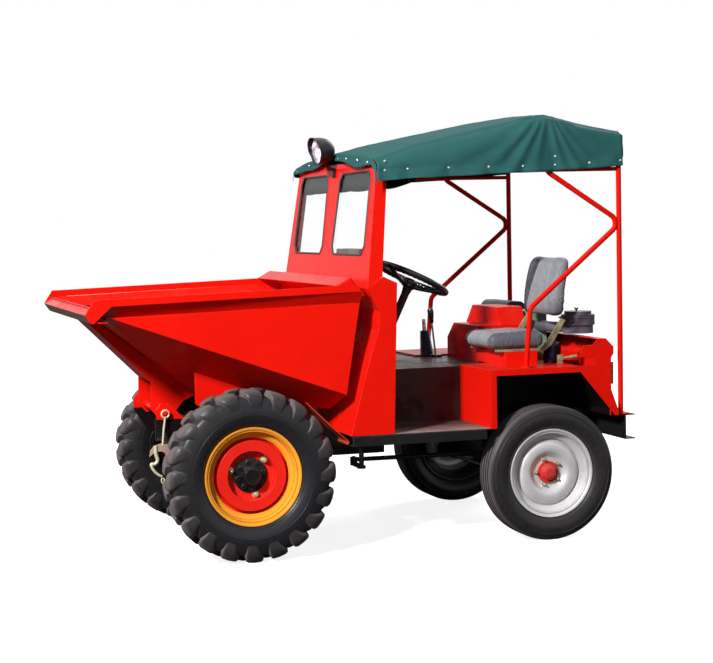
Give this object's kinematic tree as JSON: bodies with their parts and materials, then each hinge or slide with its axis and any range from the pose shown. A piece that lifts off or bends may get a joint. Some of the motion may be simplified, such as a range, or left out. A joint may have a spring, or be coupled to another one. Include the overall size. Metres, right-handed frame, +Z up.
{
  "type": "site dumper",
  "caption": "Site dumper with a front tipping skip, a driver's platform under a canvas canopy, driven front wheels and steered rear wheels.",
  "frame": {"origin": "on the ground, under the middle of the overall box", "axes": "+X forward to the skip's lip, +Y to the driver's left, +Z up"},
  "size_m": [2.616, 1.4174, 2.0238],
  "materials": {
    "amber": "amber lens in a red housing",
    "black": "black chassis paint",
    "canvas": "green proofed canvas",
    "cast": "cast iron, oily",
    "dark": "black rubber mat and trim",
    "glass": "clear glass",
    "green": "green engine enamel",
    "grip": "moulded black grip",
    "lamp": "black housing with a clear lens",
    "orange": "orange-yellow enamel",
    "red": "glossy red enamel",
    "red_dark": "red enamel in the shade of the skip, dusty",
    "silver": "silver wheel paint",
    "steel": "worn steel",
    "tail": "dark red lens",
    "tyre": "black rubber, dusty lugs",
    "vinyl": "grey vinyl with dark side panels",
    "zinc": "zinc plated"
  },
  "bodies": {
    "chassis": {"frame": "black", "pivot_bracket": "red", "rear_bumper": "black", "front_axle": "black", "rear_axle": "black", "gearbox": "cast", "engine": "green", "front_panel": "red", "side_panels": "red", "windscreen_frame": "red", "windscreen_glass": "glass", "deck": "dark", "instrument_panel": "dark", "fenders": "red", "rear_cowl": "red", "engine_cover": "red", "fuel_tank": "black", "seat_pedestal": "red", "seat_frame": "zinc", "seat_cushion": "vinyl", "seat_back": "vinyl", "air_cleaner": "black", "marker_lamps": "amber", "tail_lamps": "tail", "roof_frame": "red", "canopy": "canvas", "work_lamp": "lamp", "levers": "grip", "front_guards": "red_dark", "front_hook": "zinc", "steering_column": "black", "pedals": "black", "brake_lever": "zinc", "oil_can": "silver"},
    "skip": {"skip_tub": "red", "skip_beam": "red_dark"},
    "wheel_front_left": {"tyre_front_left": "tyre", "rim_front_left": "orange", "disc_front_left": "red", "hub_front_left": "cast"},
    "wheel_front_right": {"tyre_front_right": "tyre", "rim_front_right": "orange", "disc_front_right": "red", "hub_front_right": "cast"},
    "knuckle_left": {"knuckle_left": "black"},
    "knuckle_right": {"knuckle_right": "black"},
    "wheel_rear_left": {"tyre_rear_left": "tyre", "rim_rear_left": "silver", "hub_rear_left": "red"},
    "wheel_rear_right": {"tyre_rear_right": "tyre", "rim_rear_right": "silver", "hub_rear_right": "red"},
    "tie_rod": {"tie_rod": "steel"},
    "drag_link": {"drag_link": "steel"},
    "pitman_arm": {"pitman_arm": "black"},
    "steering_wheel": {"steering_wheel": "grip"}
  },
  "joints": [
    {"name": "skip_tip", "type": "hinge", "parent": "chassis", "child": "skip", "pos_m": [0.896, 0, 0.655], "axis": [0, 1, 0], "range_deg": [0, 60]},
    {"name": "spin_front_left", "type": "hinge", "parent": "chassis", "child": "wheel_front_left", "pos_m": [0.577, 0.604, 0.391], "axis": [0, 1, 0], "continuous": true},
    {"name": "spin_front_right", "type": "hinge", "parent": "chassis", "child": "wheel_front_right", "pos_m": [0.577, -0.604, 0.391], "axis": [0, 1, 0], "continuous": true},
    {"name": "steer_left", "type": "hinge", "parent": "chassis", "child": "knuckle_left", "pos_m": [-0.869, 0.485, 0.318], "axis": [0, 0, 1], "range_deg": [-30, 30]},
    {"name": "steer_right", "type": "hinge", "parent": "chassis", "child": "knuckle_right", "pos_m": [-0.869, -0.485, 0.318], "axis": [0, 0, 1], "range_deg": [-30, 30]},
    {"name": "spin_rear_left", "type": "hinge", "parent": "knuckle_left", "child": "wheel_rear_left", "pos_m": [-0.869, 0.622, 0.318], "axis": [0, 1, 0], "continuous": true},
    {"name": "spin_rear_right", "type": "hinge", "parent": "knuckle_right", "child": "wheel_rear_right", "pos_m": [-0.869, -0.622, 0.318], "axis": [0, 1, 0], "continuous": true},
    {"name": "tie_rod_pivot", "type": "hinge", "parent": "knuckle_left", "child": "tie_rod", "pos_m": [-0.749, 0.485, 0.289], "axis": [0, 0, 1], "range_deg": [-30, 30]},
    {"name": "drag_link_pivot", "type": "hinge", "parent": "knuckle_left", "child": "drag_link", "pos_m": [-0.869, 0.365, 0.387], "axis": [0, 0, 1], "range_deg": [-30, 30]},
    {"name": "pitman_turn", "type": "hinge", "parent": "chassis", "child": "pitman_arm", "pos_m": [-0.009, 0.43, 0.367], "axis": [0, 0, 1], "range_deg": [-30, 30]},
    {"name": "wheel_turn", "type": "hinge", "parent": "chassis", "child": "steering_wheel", "pos_m": [-0.301, 0.36, 1.245], "axis": [-0.4334, 0, 0.9012], "range_deg": [-360, 360]}
  ],
  "couplings": [
    {"joint": "steer_right", "follows": "steer_left", "ratio": 1},
    {"joint": "tie_rod_pivot", "follows": "steer_left", "ratio": -1},
    {"joint": "drag_link_pivot", "follows": "steer_left", "ratio": -1},
    {"joint": "pitman_turn", "follows": "steer_left", "ratio": 1},
    {"joint": "wheel_turn", "follows": "steer_left", "ratio": -12}
  ]
}
